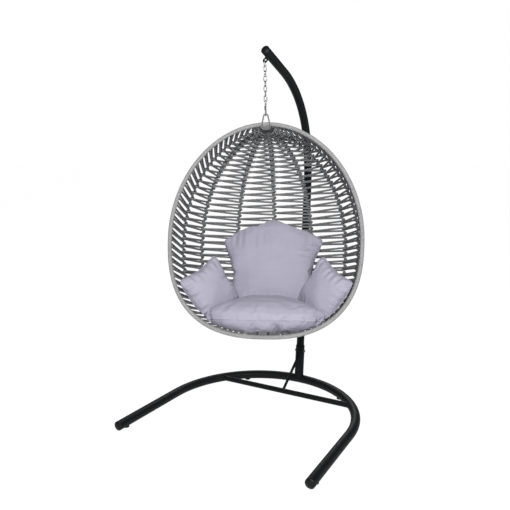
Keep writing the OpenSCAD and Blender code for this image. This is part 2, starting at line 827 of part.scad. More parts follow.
seat_cushion();
back_pillow();
arm_pillow(-1);  // arm_pillow_left
arm_pillow(1);  // arm_pillow_right
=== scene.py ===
"""Hanging egg chair: materials, wound rim and ribs, rope panels and padded cushions
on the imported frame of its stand, chain and basket."""

import json
import math

import bmesh
import bpy
from mathutils import Matrix, Vector, noise
from mathutils.bvhtree import BVHTree


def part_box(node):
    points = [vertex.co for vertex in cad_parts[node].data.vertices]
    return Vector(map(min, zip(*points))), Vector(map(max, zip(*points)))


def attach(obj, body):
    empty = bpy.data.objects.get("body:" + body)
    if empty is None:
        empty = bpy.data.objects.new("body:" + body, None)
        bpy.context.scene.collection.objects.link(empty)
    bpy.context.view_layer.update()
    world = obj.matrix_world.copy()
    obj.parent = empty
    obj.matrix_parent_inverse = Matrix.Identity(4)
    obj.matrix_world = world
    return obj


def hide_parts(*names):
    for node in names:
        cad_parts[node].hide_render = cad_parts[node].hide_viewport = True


bl_info = {
    "name": "Hanging Egg Chair",
    "version": (1, 0, 0),
    "blender": (4, 5, 0),
    "location": "3D View > Sidebar > Egg Chair",
    "description": "Dresses the packed frame of a hanging egg chair",
    "category": "Add Mesh",
}

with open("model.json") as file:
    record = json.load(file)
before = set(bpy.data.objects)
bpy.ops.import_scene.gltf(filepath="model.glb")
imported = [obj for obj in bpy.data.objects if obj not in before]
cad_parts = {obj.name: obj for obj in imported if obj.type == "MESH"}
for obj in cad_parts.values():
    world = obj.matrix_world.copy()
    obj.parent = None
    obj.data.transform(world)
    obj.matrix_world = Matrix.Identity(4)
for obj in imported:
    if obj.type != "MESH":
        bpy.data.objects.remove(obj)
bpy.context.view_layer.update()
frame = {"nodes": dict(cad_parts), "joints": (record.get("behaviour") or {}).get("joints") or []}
NODES = frame["nodes"]
JOINTS = {joint["name"]: joint for joint in frame["joints"]}
TINY = 1e-9


# ---- Sizes and colours that a user would change ----

def size(name, description, default):
    return bpy.props.FloatProperty(
        name=name, description=description, default=default, min=0.0, unit="LENGTH")


def tint(name, description, default):
    return bpy.props.FloatVectorProperty(
        name=name, description=description, default=default,
        size=3, min=0.0, max=1.0, subtype="COLOR")


class EGGCHAIR_BasketSizes(bpy.types.PropertyGroup):
    """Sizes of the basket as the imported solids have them, but with a rope 1 mm thicker"""
    rim_width: size("Rim half width", "Greatest half width of the rim", 0.495)
    rim_up: size("Rim above", "Height of the rim above its widest place", 0.595)
    rim_down: size("Rim below", "Height of the rim below its widest place", 0.506)
    rim_diameter: size("Rim diameter", "Diameter of the wrapped rim", 0.022)
    rim_tilt: bpy.props.FloatProperty(
        name="Rim tilt", description="Lean of the rim", default=math.radians(16.9), subtype="ANGLE")
    depth_share: bpy.props.FloatProperty(
        name="Depth share", description="Depth of the basket over its half width", default=1.03)
    section_power: bpy.props.FloatProperty(
        name="Section power", description="Squareness of the basket's level section", default=3.3)
    rib_diameter: size("Rib diameter", "Diameter of a wrapped rib", 0.011)
    crown_back: size("Crown back", "Distance of the ribs' crown behind the rim", 0.028)
    crown_in: size("Crown in", "Distance of the ribs' crown inside the rim", 0.018)
    hub_radius: size("Hub radius", "Radius of the plates where the ribs meet", 0.034)
    rope_diameter: size("Rope diameter", "Diameter of the woven rope", 0.0120)
    rope_pitch: size("Rope pitch", "Distance between pairs of strands along a rib", 0.038)
    rope_open: bpy.props.FloatProperty(
        name="Rope opening", description="Share of the pitch by which a pair opens", default=0.5)
    weave_top: size("Weave top", "Length along a rib at which the pairs of strands start", 0.105)
    weave_foot: size("Weave foot", "Length along a rib that the pairs leave free at its foot", 0.105)
    ring_first: size("First ring", "Length along a rib from its end to the first ring of rope", 0.0415)
    ring_pitch: size("Ring pitch", "Distance between the rings of rope at the ribs' ends", 0.0128)
    rope_close: size("Rope close", "Distance between a pair's strands where they meet on a rib", 0.002)
    rim_close: size("Rope close at rim", "The same distance in the two panels at the rim", 0.014)
    rim_lift: size("Rim lift", "Height of a strand's end on the rim above its end on the rib", 0.034)
    winding: size("Winding", "Width of one turn of the cord wound round rim and ribs", 0.0065)


class EGGCHAIR_Colours(bpy.types.PropertyGroup):
    """Base colours of the chair's finishes"""
    frame_black: tint("Frame", "Powder-coated steel", (0.0050, 0.0057, 0.0064))
    cap_black: tint("Caps", "Moulded end caps", (0.0040, 0.0044, 0.0050))
    zinc: tint("Zinc", "Plated chain and bolts", (0.26, 0.265, 0.275))
    loop_grey: tint("Loop", "Painted hanging loop and hubs", (0.13, 0.13, 0.135))
    rim_grey: tint("Rim cord", "Cord wound round the rim", (0.33, 0.33, 0.33))
    rope_grey: tint("Rope", "Rope of the basket", (0.150, 0.152, 0.156))
    cloth: tint("Cloth", "Cushion covers", (0.372, 0.358, 0.440))


def sizes():
    return bpy.context.scene.eggchair_sizes


def colours():
    return bpy.context.scene.eggchair_colours


# ---- Node trees ----

class NodeTools:
    """Short calls for the nodes and links of a tree"""

    def __init__(self, tree):
        self.nodes, self.links = tree.nodes, tree.links

    def node(self, kind, inputs=None, **settings):
        made = self.nodes.new(kind)
        for key, value in settings.items():
            setattr(made, key, value)
        for key, value in (inputs or {}).items():
            self.put(made.inputs[key], value)
        return made

    def put(self, socket, value):
        """Links a socket to another one, or gives it a value"""
        if isinstance(value, bpy.types.NodeSocket):
            self.links.new(value, socket)
        else:
            socket.default_value = value

    def math(self, operation, a, b=0.0, c=0.5, clamp=False):
        made = self.node("ShaderNodeMath", {0: a, 1: b, 2: c}, operation=operation, use_clamp=clamp)
        return made.outputs[0]


# ---- Materials ----

class Shader(NodeTools):
    """A material with the patterns that its finish is made of"""

    def __init__(self, name):
        self.material = bpy.data.materials.new(name)
        self.material.use_nodes = True
        super().__init__(self.material.node_tree)
        self.surface = self.nodes["Principled BSDF"]

    def object_place(self):
        return self.node("ShaderNodeTexCoord").outputs["Object"]

    def noise(self, scale, detail=3.0, place=None):
        if place is None:
            place = self.object_place()
        made = self.node("ShaderNodeTexNoise", {"Vector": place, "Scale": scale, "Detail": detail})
        return made.outputs["Fac"]

    def shades(self, factor, dark, light):
        """Colour that runs from dark to light with a factor"""
        mix = self.node("ShaderNodeMix", {0: factor, 6: (*dark, 1), 7: (*light, 1)}, data_type="RGBA")
        return mix.outputs[2]

    def ramp(self, factor, low, high):
        """Value that runs from 0 to 1 while a factor goes from low to high"""
        made = self.node("ShaderNodeMapRange", {0: factor, 1: low, 2: high, 3: 0.0, 4: 1.0}, clamp=True)
        return made.outputs[0]

    def spread(self, factor, low, high):
        """Value that runs from low to high while a factor goes from 0 to 1"""
        return self.math("MULTIPLY_ADD", factor, high - low, low)

    def blend(self, first, first_share, second, second_share):
        """Weighted sum of two values, kept between 0 and 1"""
        return self.math("ADD", self.math("MULTIPLY", first, first_share),
                         self.math("MULTIPLY", second, second_share), clamp=True)

    def bump(self, height, distance, strength, below=None):
        inputs = {"Height": height, "Distance": distance, "Strength": strength}
        if below is not None:
            inputs["Normal"] = below
        return self.node("ShaderNodeBump", inputs).outputs["Normal"]

    def finish(self, **inputs):
        for key, value in inputs.items():
            self.put(self.surface.inputs[key.replace("_", " ")], value)
        return self.material


def scaled(colour, factor):
    return tuple(min(1.0, channel * factor) for channel in colour)


def powder_coat():
    """Satin black powder coat, with its fine orange peel and dust in the rubbed places"""
    m = Shader("powder_coat_black")
    base = colours().frame_black
    wear = m.ramp(m.noise(scale=9.0, detail=5.0), low=0.45, high=0.8)
    return m.finish(
        Base_Color=m.shades(wear, dark=scaled(base, 0.9), light=scaled(base, 1.5)),
        Specular_IOR_Level=0.14,
        Roughness=m.spread(m.noise(scale=25.0, detail=2.0), low=0.5, high=0.64),
        Normal=m.bump(m.noise(scale=900.0, detail=2.0), distance=0.0002, strength=0.5))


def moulded_plastic(name, base, roughness):
    """Matt moulded plastic or rubber with a fine grain"""
    m = Shader(name)
    return m.finish(
        Base_Color=m.shades(m.noise(scale=30.0), dark=scaled(base, 0.85), light=scaled(base, 1.25)),
        Specular_IOR_Level=0.2,
        Roughness=roughness,
        Normal=m.bump(m.noise(scale=1400.0, detail=2.0), distance=0.0002, strength=0.35))


def plated_zinc():
    """Bright zinc with duller patches and drawing marks"""
    m = Shader("bright_zinc")
    base = colours().zinc
    patches = m.noise(scale=160.0, detail=4.0)
    return m.finish(
        Base_Color=m.shades(patches, dark=scaled(base, 0.82), light=scaled(base, 1.2)),
        Metallic=1.0,
        Roughness=m.spread(patches, low=0.16, high=0.38),
        Normal=m.bump(m.noise(scale=2400.0, detail=2.0), distance=0.0001, strength=0.4))


def grey_paint(name, base):
    """Grey paint on the hanging loop and the hubs, in darker and lighter patches"""
    m = Shader(name)
    patches = m.ramp(m.noise(scale=60.0, detail=4.0), low=0.3, high=0.7)
    return m.finish(
        Base_Color=m.shades(patches, dark=scaled(base, 0.8), light=scaled(base, 1.25)),
        Roughness=0.42,
        Normal=m.bump(m.noise(scale=700.0), distance=0.0002, strength=0.4))


def cord_material(name, base, plies, lay):
    """Twisted cord: its plies run round it once in a lay, by the angle round the cord and
    the length along it that the sweep stored"""
    m = Shader(name)
    stored = m.node("ShaderNodeAttribute", attribute_name="cord_lay")
    cosine, sine, length = m.node("ShaderNodeSeparateXYZ", {0: stored.outputs["Vector"]}).outputs
    around = m.math("MULTIPLY", m.math("ARCTAN2", sine, cosine), plies)
    along = m.math("MULTIPLY", length, math.tau / lay)
    ridge = m.math("MULTIPLY_ADD", m.math("SINE", m.math("ADD", around, along)), 0.5, 0.5)
    fibres = m.noise(scale=1500.0)
    # Painted shade: the colour follows the ridge, darker in the grooves between the plies, mixed with
    # random tone
    tone = m.blend(ridge, 0.55, m.noise(scale=14.0), 0.6)
    height = m.math("MULTIPLY_ADD", fibres, 0.35, ridge)
    return m.finish(
        Base_Color=m.shades(tone, dark=scaled(base, 0.68), light=scaled(base, 1.28)),
        Sheen_Weight=0.04,
        Sheen_Roughness=0.5,
        Roughness=m.spread(fibres, low=0.55, high=0.75),
        Normal=m.bump(height, distance=0.0009, strength=0.9))


def cushion_cloth():
    """Plain woven polyester cover: fine over-and-under yarns, soft sheen and faint slubs"""
    yarn_pitch = 0.0016
    yarn_turn = (0.35, 0.2, 0.5)
    slub_scale = (14.0, 14.0, 220.0)
    m = Shader("cushion_cloth")
    base = colours().cloth
    place = m.object_place()
    turned = m.node("ShaderNodeMapping", {"Vector": place, "Rotation": yarn_turn}).outputs[0]
    stretched = m.node("ShaderNodeMapping", {"Vector": place, "Scale": slub_scale}).outputs[0]
    x, y, z = (m.math("SINE", m.math("MULTIPLY", part, math.tau / yarn_pitch))
               for part in m.node("ShaderNodeSeparateXYZ", {0: turned}).outputs)
    weave = m.math("ADD", m.math("MULTIPLY", x, z), m.math("MULTIPLY", y, z))
    slubs = m.noise(scale=1.0, place=stretched)
    tone = m.blend(slubs, 0.45, m.noise(scale=7.0, detail=4.0), 0.5)
    creases = m.bump(m.noise(scale=38.0, detail=4.0), distance=0.0016, strength=0.55)
    return m.finish(
        Base_Color=m.shades(tone, dark=scaled(base, 0.88), light=scaled(base, 1.1)),
        Specular_IOR_Level=0.25,
        Sheen_Weight=0.06,
        Sheen_Roughness=0.45,
        Roughness=0.82,
        Normal=m.bump(weave, distance=0.0002, strength=0.45, below=creases))


def dress(node, material):
    """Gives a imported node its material"""
    mesh = NODES[node].data
    mesh.materials.clear()
    mesh.materials.append(material)


# ---- Swept cord ----

class Tree(NodeTools):
    """A Geometry Nodes group with named inputs"""

    def __init__(self, name, inputs):
        self.group = bpy.data.node_groups.new(name, "GeometryNodeTree")
        super().__init__(self.group)
        face = self.group.interface
        face.new_socket("Geometry", in_out="INPUT", socket_type="NodeSocketGeometry")
        for label, kind, default in inputs:
            made = face.new_socket(label, in_out="INPUT", socket_type=kind)
            if default is not None:
                made.default_value = default
        face.new_socket("Geometry", in_out="OUTPUT", socket_type="NodeSocketGeometry")
        self.given = self.nodes.new("NodeGroupInput").outputs
        self.result = self.nodes.new("NodeGroupOutput").inputs[0]

    def capture(self, geometry, value):
        made = self.node("GeometryNodeCaptureAttribute", {"Geometry": geometry}, domain="POINT")
        made.capture_items.new("FLOAT", "Value")
        self.put(made.inputs["Value"], value)
        return made.outputs["Geometry"], made.outputs["Value"]


def cord_tree():
    """Sweeps a round cord along curves: its windings stand out as ridges of a helix, and
    it stores the angle round it and the length along it for the material"""
    t = Tree("Swept cord", [
        ("Diameter", "NodeSocketFloat", 0.008), ("Sides", "NodeSocketInt", 8),
        ("Winding", "NodeSocketFloat", 0.0), ("Ridge", "NodeSocketFloat", 0.0),
        ("Material", "NodeSocketMaterial", None)])
    least_winding = 0.0001
    along = t.node("GeometryNodeSplineParameter")
    rail, length = t.capture(t.given["Geometry"], along.outputs["Length"])
    circle = t.node("GeometryNodeCurvePrimitiveCircle", {
        "Resolution": t.given["Sides"], "Radius": t.math("MULTIPLY", t.given["Diameter"], 0.5)})
    around = t.node("GeometryNodeSplineParameter")
    profile, share = t.capture(circle.outputs["Curve"], around.outputs["Factor"])
    swept = t.node("GeometryNodeCurveToMesh", {
        "Curve": rail, "Profile Curve": profile, "Fill Caps": True})
    angle = t.math("MULTIPLY", share, math.tau)
    turns = t.math("DIVIDE", length, t.math("MAXIMUM", t.given["Winding"], least_winding))
    half_turn = t.math("ADD", t.math("MULTIPLY", turns, math.pi), t.math("MULTIPLY", angle, 0.5))
    height = t.math("SUBTRACT", t.math("ABSOLUTE", t.math("SINE", half_turn)), 1.0)
    normal = t.node("GeometryNodeInputNormal").outputs[0]
    shift = t.node("ShaderNodeVectorMath", {
        0: normal, "Scale": t.math("MULTIPLY", height, t.given["Ridge"])}, operation="SCALE")
    wound = t.node("GeometryNodeSetPosition", {"Geometry": swept.outputs[0], "Offset": shift.outputs[0]})
    lay = t.node("ShaderNodeCombineXYZ", {
        0: t.math("COSINE", angle), 1: t.math("SINE", angle), 2: length})
    stored = t.node("GeometryNodeStoreNamedAttribute", {
        "Geometry": wound.outputs[0], "Name": "cord_lay", "Value": lay.outputs[0]},
        data_type="FLOAT_VECTOR", domain="POINT")
    smooth = t.node("GeometryNodeSetShadeSmooth", {0: stored.outputs[0]})
    real = t.node("GeometryNodeRealizeInstances", {0: smooth.outputs[0]})
    painted = t.node("GeometryNodeSetMaterial", {
        "Geometry": real.outputs[0], "Material": t.given["Material"]})
    t.put(t.result, painted.outputs[0])
    return t.group


def run_tree(name, rails, group, closed=False, **values):
    """A plain mesh of a tree run on rails, each a list of points"""
    curve = bpy.data.curves.new(name, "CURVE")
    curve.dimensions = "3D"
    for rail in rails:
        spline = curve.splines.new("POLY")
        spline.points.add(len(rail) - 1)
        for point, place in zip(spline.points, rail):
            point.co = (*place, 1.0)
        spline.use_cyclic_u = closed
    source = bpy.data.objects.new(name + "_rails", curve)
    bpy.context.scene.collection.objects.link(source)
    modifier = source.modifiers.new(group.name, "NODES")
    modifier.node_group = group
    sockets = {item.name: item.identifier for item in group.interface.items_tree
               if item.item_type == "SOCKET" and item.in_out == "INPUT"}
    for label, value in values.items():
        modifier[sockets[label]] = value
    depsgraph = bpy.context.evaluated_depsgraph_get()
    mesh = bpy.data.meshes.new_from_object(source.evaluated_get(depsgraph))
    bpy.data.objects.remove(source)
    made = bpy.data.objects.new(name, mesh)
    bpy.context.scene.collection.objects.link(made)
    return made


def finished(piece, body, slot_name, *replaced):
    """Hands a finished piece to its body and hides the nodes that it stands for; slot_name is not used
    """
    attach(piece, body)
    if replaced:
        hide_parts(*replaced)
    return piece


# ---- Welds of the stand ----

POLE_FOOT = Vector((0, 0.431083, 0.029))
POLE_LEAN = math.radians(6.4)
SOCKET_RADIUS = 0.027
SOCKET_MIDDLE = 0.1
CROSS_TUBE = Vector((0, 0.218083, 0.029))
CROSS_RADIUS = 0.015
CROSS_AXIS = Vector((1, 0, 0))
CROSS_START = 0.3
BRACE_UP = 0.162
BRACE_RADIUS = 0.008
EYE_COLLAR = Vector((0, 0.07188, 1.89278))
COLLAR_RADIUS = 0.006
TIP_LEAN = math.radians(65.3)
BEAD = 0.0042
BEAD_OUT = 0.0003
BEAD_SIDES = 10
BEAD_RIPPLE = 0.0035
BEAD_RIDGE = 0.0006
BEAD_POINTS = 72


def touch_line(start, direction, radius, node):
    """Line along which a round bar with its axis at start meets a node's surface, drawn
    a little outside the bar"""
    mesh = NODES[node].data
    tree = BVHTree.FromPolygons([v.co for v in mesh.vertices], [p.vertices for p in mesh.polygons])
    across = direction.orthogonal().normalized()
    around = direction.cross(across).normalized()
    points = []
    for n in range(BEAD_POINTS):
        turn = math.tau * n / BEAD_POINTS
        out = math.cos(turn) * across + math.sin(turn) * around
        hit = tree.ray_cast(start + (radius + BEAD_OUT) * out, direction)[0]
        if hit is not None:
            points.append(hit)
    return points


def weld_lines():
    """The beads at the socket, the cross tube, the brace and the eye's collar"""
    up = Vector((0, math.sin(POLE_LEAN), math.cos(POLE_LEAN)))
    brace_top = POLE_FOOT + BRACE_UP * up
    brace = (brace_top - CROSS_TUBE).normalized()
    brace_middle = (brace_top + CROSS_TUBE) / 2
    collar = Vector((0, math.cos(TIP_LEAN), math.sin(TIP_LEAN)))
    cross_start = CROSS_START * CROSS_AXIS
    return [touch_line(POLE_FOOT + SOCKET_MIDDLE * up, -up, SOCKET_RADIUS, "base_tube"),
            touch_line(CROSS_TUBE + cross_start, CROSS_AXIS, CROSS_RADIUS, "base_tube"),
            touch_line(CROSS_TUBE - cross_start, -CROSS_AXIS, CROSS_RADIUS, "base_tube"),
            touch_line(brace_middle, brace, BRACE_RADIUS, "pole_socket"),
            touch_line(brace_middle, -brace, BRACE_RADIUS, "cross_tube"),
            touch_line(EYE_COLLAR, collar, COLLAR_RADIUS, "upper_pole")]


# ---- Places in the basket ----

# The rim's centreline above the hanging loop's foot, and behind the loop's axis
LOOP_FOOT_TO_RIM = 0.02875
RIM_BACK = 0.01505
# Powers of the superellipses that the rim and the ribs follow above and below the
# rim's widest place
RIM_POWER_UP = 1.96
RIM_POWER_DOWN = 2.52
RIB_POWER_UP = RIM_POWER_UP + 0.12
# The rim's left side, the ribs and the rim's right side, as seen from the front, in degrees
# round the level section
RIB_ANGLES = (0, 14.5, 41, 74.5, 90, 105.5, 139, 165.5, 180)
RIBS = len(RIB_ANGLES) - 2
MEASURED_RIB = 2
HUB_GAP = 0.0006
BASKET_MIDDLE_BACK = 0.17


def basket_place():
    """Matrix of the rim's frame: its origin is the top of the rim's centreline, +Y runs
    out of the rim's back and -Z along the rim to its foot"""
    s = sizes()
    rock = JOINTS["basket_rock"]
    yaw = math.atan2(rock["axis"][1], rock["axis"][0])
    loop_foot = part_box("hanging_loop")[0].z
    rim_top = Vector((rock["pos_m"][0], rock["pos_m"][1], loop_foot + LOOP_FOOT_TO_RIM))
    return (Matrix.Translation(rim_top) @ Matrix.Rotation(yaw, 4, "Z")
            @ Matrix.Translation((0, RIM_BACK, 0)) @ Matrix.Rotation(-s.rim_tilt, 4, "X"))


def in_world(points):
    place = basket_place()
    return [place @ p for p in points]


def basket_middle():
    return Vector((0, BASKET_MIDDLE_BACK, -sizes().rim_up))


def power(value, exponent):
    return max(value, 0.0) ** exponent


def egg(angle, up, down, power_up):
    """Half width and height of an egg profile, for an angle from its top in degrees"""
    a = math.radians(angle)
    if angle < 90:
        exponent = 2 / power_up
        height = up * power(math.cos(a), exponent)
    else:
        exponent = 2 / RIM_POWER_DOWN
        height = -down * power(-math.cos(a), exponent)
    return sizes().rim_width * power(math.sin(a), exponent), height


def level_section(k):
    """Place of rib k on the squarish level section, in shares of its half width"""
    s = sizes()
    t = math.radians(RIB_ANGLES[k])
    side = -math.copysign(power(abs(math.cos(t)), 2 / s.section_power), math.cos(t))
    return side, s.depth_share * power(math.sin(t), 2 / s.section_power)


def on_rim(k):
    return k in (0, RIBS + 1)


def edge_at(k, angle):
    """Place on edge k of the rope panels, in the rim's frame: the rim's two sides for the
    first and last edge, a rib between them"""
    s = sizes()
    if on_rim(k):
        width, height = egg(angle, s.rim_up, s.rim_down, RIM_POWER_UP)
        return Vector((width if k else -width, 0, height - s.rim_up))
    width, height = egg(angle, s.rim_up - s.crown_in, s.rim_down - s.crown_in, RIB_POWER_UP)
    side, back = level_section(k)
    return Vector((width * side, s.crown_back + width * back, height - s.rim_up))


def edge_radius(k):
    s = sizes()
    return (s.rim_diameter if on_rim(k) else s.rib_diameter) / 2


def hub_angle(k, egg_power):
    """Angle at which rib k leaves the hub, in degrees from the rib's end"""
    s = sizes()
    share = (s.hub_radius + HUB_GAP) / math.hypot(*level_section(k)) / s.rim_width
    return math.degrees(math.asin(power(share, egg_power / 2)))


class RibLengths:
    """Angles at given lengths along one rib, counted from its crown"""

    def __init__(self, step=2):
        self.angles = list(range(0, 181, step))
        places = [edge_at(MEASURED_RIB, a) for a in self.angles]
        self.lengths = [0.0]
        for before, after in zip(places, places[1:]):
            self.lengths.append(self.lengths[-1] + (after - before).length)

    def angle(self, length):
        for i in range(1, len(self.lengths)):
            if length <= self.lengths[i]:
                share = (length - self.lengths[i - 1]) / (self.lengths[i] - self.lengths[i - 1])
                return self.angles[i - 1] + share * (self.angles[i] - self.angles[i - 1])
        return self.angles[-1]

    def total(self):
        return self.lengths[-1]


def evenly(points, spacing, closed=False):
    """Points at an even spacing along a line of points"""
    line = points + points[:1] if closed else points
    lengths = [0.0]
    for before, after in zip(line, line[1:]):
        lengths.append(lengths[-1] + (after - before).length)
    count = max(2, round(lengths[-1] / spacing))
    even, i = [], 0
    for n in range(count if closed else count + 1):
        want = lengths[-1] * n / count
        while i < len(lengths) - 2 and lengths[i + 1] < want:
            i += 1
        share = (want - lengths[i]) / max(lengths[i + 1] - lengths[i], TINY)
        even.append(line[i].lerp(line[i + 1], share))
    return even


# ---- Rim, ribs and ropes ----

RIM_STEPS = 360
RIM_SIDES = 16
RIM_RIDGE = 0.0012
RIM_POINTS_TO_WINDING = 5
RIB_STEPS = 200
RIB_SIDES = 10
RIB_RIDGE = 0.0011
RIB_POINTS_TO_WINDING = 4
ROPE_SIDES = 8
ROPE_PLIES = 3
ROPE_LAY = 0.03
CORD_LAY = 0.002
# Steps and sweep of a strand's turn round an edge
TURN_STEPS = 6
TURN_FROM = math.radians(70)
TURN_SWEEP = math.radians(220)
# How deep the rope is pressed into a rib's winding
ROPE_PRESS = 0.0026
# Shares of the rope's diameter by which its turn is under the rim's winding in front, and
# by which it comes out again behind
RIM_SINK = 1.02
RIM_RISE = 0.7
BEHIND_FROM = 0.35
BEHIND_OVER = 0.5
RINGS = 5
RING_STEPS = 8


def rim_rail():
    """The rim's closed centreline, at even angles of its egg"""
    right = [edge_at(RIBS + 1, 180 * i / RIM_STEPS) for i in range(RIM_STEPS + 1)]
    left = [edge_at(0, 180 * i / RIM_STEPS) for i in range(RIM_STEPS - 1, 0, -1)]
    return right + left


def rib_rail(k):
    """The centreline of rib k, from hub to hub"""
    top, foot = hub_angle(k, RIB_POWER_UP), 180 - hub_angle(k, RIM_POWER_DOWN)
    return [edge_at(k, top + (foot - top) * i / RIB_STEPS) for i in range(RIB_STEPS + 1)]


def strand_turn(k, other, length_in, length_out, table):
    """Points of the rope's turn round edge k, from one strand of a panel to the next. It
    goes round a rib, and behind the rim, under whose winding the rest of its turn is"""
    s = sizes()
    lift = s.rim_lift * (on_rim(k) - on_rim(other)) / 2
    points = []
    for n in range(TURN_STEPS + 1):
        share = n / TURN_STEPS
        length = length_in + (length_out - length_in) * share
        angle, far_angle = table.angle(length - lift), table.angle(length + lift)
        here, there = edge_at(k, angle), edge_at(other, far_angle)
        tangent = (edge_at(k, angle + 0.5) - edge_at(k, angle - 0.5)).normalized()
        towards = there - here
        towards = (towards - towards.dot(tangent) * tangent).normalized()
        inwards = basket_middle() - here
        inwards -= inwards.dot(tangent) * tangent + inwards.dot(towards) * towards
        swing = TURN_FROM + share * TURN_SWEEP
        out = math.cos(swing) * towards + math.sin(swing) * inwards.normalized()
        radius = edge_radius(k) + s.rope_diameter / 2 - ROPE_PRESS
        if on_rim(k):
            behind = min(max((out.y - BEHIND_FROM) / BEHIND_OVER, 0.0), 1.0)
            radius -= s.rope_diameter * (RIM_SINK - RIM_RISE * behind)
        points.append(here + radius * out)
    return points


def panel_rail(k, table):
    """The rope of panel k: pairs of strands that meet at edge k and open towards the next"""
    s = sizes()
    start = s.weave_top
    pairs = int((table.total() - start - s.weave_foot) / s.rope_pitch)
    close = s.rim_close if k in (0, RIBS) else s.rope_close
    opening = s.rope_open * s.rope_pitch
    points = strand_turn(k + 1, k, start, start + s.rope_pitch / 2 - opening / 2, table)
    for i in range(pairs):
        middle = start + (i + 0.5) * s.rope_pitch
        turn_end = middle + (s.rope_pitch / 2 if i == pairs - 1 else s.rope_pitch - opening / 2)
        points += strand_turn(k, k + 1, middle - close / 2, middle + close / 2, table)
        points += strand_turn(k + 1, k, middle + opening / 2, turn_end, table)
    return points


def ring_rail(length, phase, table):
    """A ring of rope near the ribs' ends, from one side of the rim to the other: it goes
    over one rib and under the next, and ends inside the rim"""
    s = sizes()
    wave = (s.rib_diameter + s.rope_diameter) / 2
    angle = table.angle(length)
    last = (RIBS + 1) * RING_STEPS
    points = []
    for n in range(last + 1):
        k, step = divmod(n, RING_STEPS)
        place = edge_at(k, angle)
        if step:
            place = place.lerp(edge_at(k + 1, angle), step / RING_STEPS)
        inwards = (basket_middle() - place).normalized()
        free = min(n, last - n, RING_STEPS) / RING_STEPS
        height = free * wave * math.cos(math.pi * n / RING_STEPS + phase)
        points.append(place + height * inwards)
    return points


# ---- Filling of the cushions ----

MERGE_DISTANCE = 0.0002
VOXEL = 0.006
SMOOTHING = 0.5
SMOOTH_ROUNDS = 3
FILL_FRAMES = 20
FILL_PRESSURE = 4.0
COVER_CLOTH = {
    "quality": 4, "mass": 0.3, "tension_stiffness": 12.0, "compression_stiffness": 12.0,
    "shear_stiffness": 5.0, "bending_stiffness": 0.4, "shrink_min": -0.08}


def closed_copy(node, name):
    """A copy of a packed cushion, its triangles merged to one skin"""
    mesh = NODES[node].data.copy()
    mesh.materials.clear()
    piece = bpy.data.objects.new(name, mesh)
    bpy.context.scene.collection.objects.link(piece)
    work = bmesh.new()
    work.from_mesh(mesh)
    bmesh.ops.remove_doubles(work, verts=work.verts, dist=MERGE_DISTANCE)
    bmesh.ops.recalc_face_normals(work, faces=work.faces)
    work.to_mesh(mesh)
    work.free()
    return piece


def apply_modifiers(piece):
    depsgraph = bpy.context.evaluated_depsgraph_get()
    mesh = bpy.data.meshes.new_from_object(piece.evaluated_get(depsgraph))
    piece.modifiers.clear()
    old = piece.data
    piece.data = mesh
    bpy.data.meshes.remove(old)
    return piece


def remesh(piece):
    """Gives a cover an even mesh and rounds its edges"""
    voxels = piece.modifiers.new("Voxels", "REMESH")
    voxels.mode = "VOXEL"
    voxels.voxel_size = VOXEL
    voxels.use_smooth_shade = True
    apply_modifiers(piece)
    smooth = piece.modifiers.new("Smooth", "SMOOTH")
    smooth.factor = SMOOTHING
    smooth.iterations = SMOOTH_ROUNDS
    return apply_modifiers(piece)


def inflate(piece, cap):
    """Lets a cover fill out under pressure, and keeps each place within cap of its start"""
    start = [v.co.copy() for v in piece.data.vertices]
    cloth = piece.modifiers.new("Filling", "CLOTH")
    for name, value in COVER_CLOTH.items():
        setattr(cloth.settings, name, value)
    cloth.settings.use_pressure = True
    cloth.settings.uniform_pressure_force = FILL_PRESSURE
    cloth.settings.effector_weights.gravity = 0.0
    cloth.collision_settings.use_self_collision = False
    cloth.point_cache.frame_start = 1
    cloth.point_cache.frame_end = FILL_FRAMES
    scene = bpy.context.scene
    for step in range(1, FILL_FRAMES + 1):
        scene.frame_set(step)
    apply_modifiers(piece)
    scene.frame_set(1)
    places = []
    for vertex, before in zip(piece.data.vertices, start):
        move = vertex.co - before
        places.extend(before + move * min(1.0, cap / max(move.length, TINY)))
    piece.data.vertices.foreach_set("co", places)
    piece.data.update()
    return piece


def reshape(piece, place, change):
    """Moves each vertex of a piece by a change in the frame at place"""
    inverse = place.inverted()
    turn = inverse.to_3x3()
    vertices = piece.data.vertices
    normals = [turn @ vertex.normal for vertex in vertices]
    places = []
    for vertex, normal in zip(vertices, normals):
        p = inverse @ vertex.co
        change(p, normal)
        places.extend(place @ p)
    vertices.foreach_set("co", places)
    piece.data.update()


# ---- Places of the cushions, in the rim's frame ----

SEAT_MIDDLE = 0.165
SEAT_SEAM_UP = 0.0875
BACK_CENTRE = Vector((0, 0.412, -0.750))
BACK_LEAN = math.radians(10)
ARM_CENTRE = Vector((0.309, 0.160, -0.862))
ARM_UP = Vector((-0.085, 0.2, 0.97))
ARM_FACE = Vector((-0.611, -0.784, 0.108))


def seat_frame():
    s = sizes()
    return Matrix.Translation((0, SEAT_MIDDLE, SEAT_SEAM_UP - s.rim_up - s.rim_down))


def back_frame():
    return Matrix.Translation(BACK_CENTRE) @ Matrix.Rotation(math.pi / 2 - BACK_LEAN, 4, "X")


def arm_frame(side):
    mirror = Matrix.Diagonal((side, 1, 1))
    face, up = (mirror @ ARM_FACE).normalized(), mirror @ ARM_UP
    across = up.cross(face).normalized()
    turned = Matrix((across, face.cross(across), face)).transposed().to_4x4()
    return Matrix.Translation(mirror @ ARM_CENTRE) @ turned @ Matrix.Rotation(math.pi / 4, 4, "Z")


def left_arm_frame():
    return arm_frame(-1)


def right_arm_frame():
    return arm_frame(1)


# ---- Forms of the cushions ----

# Ears: how much thinner a corner gets, and how sharply that begins
EAR_THINNING = 0.45
EAR_SHARPNESS = 1.5
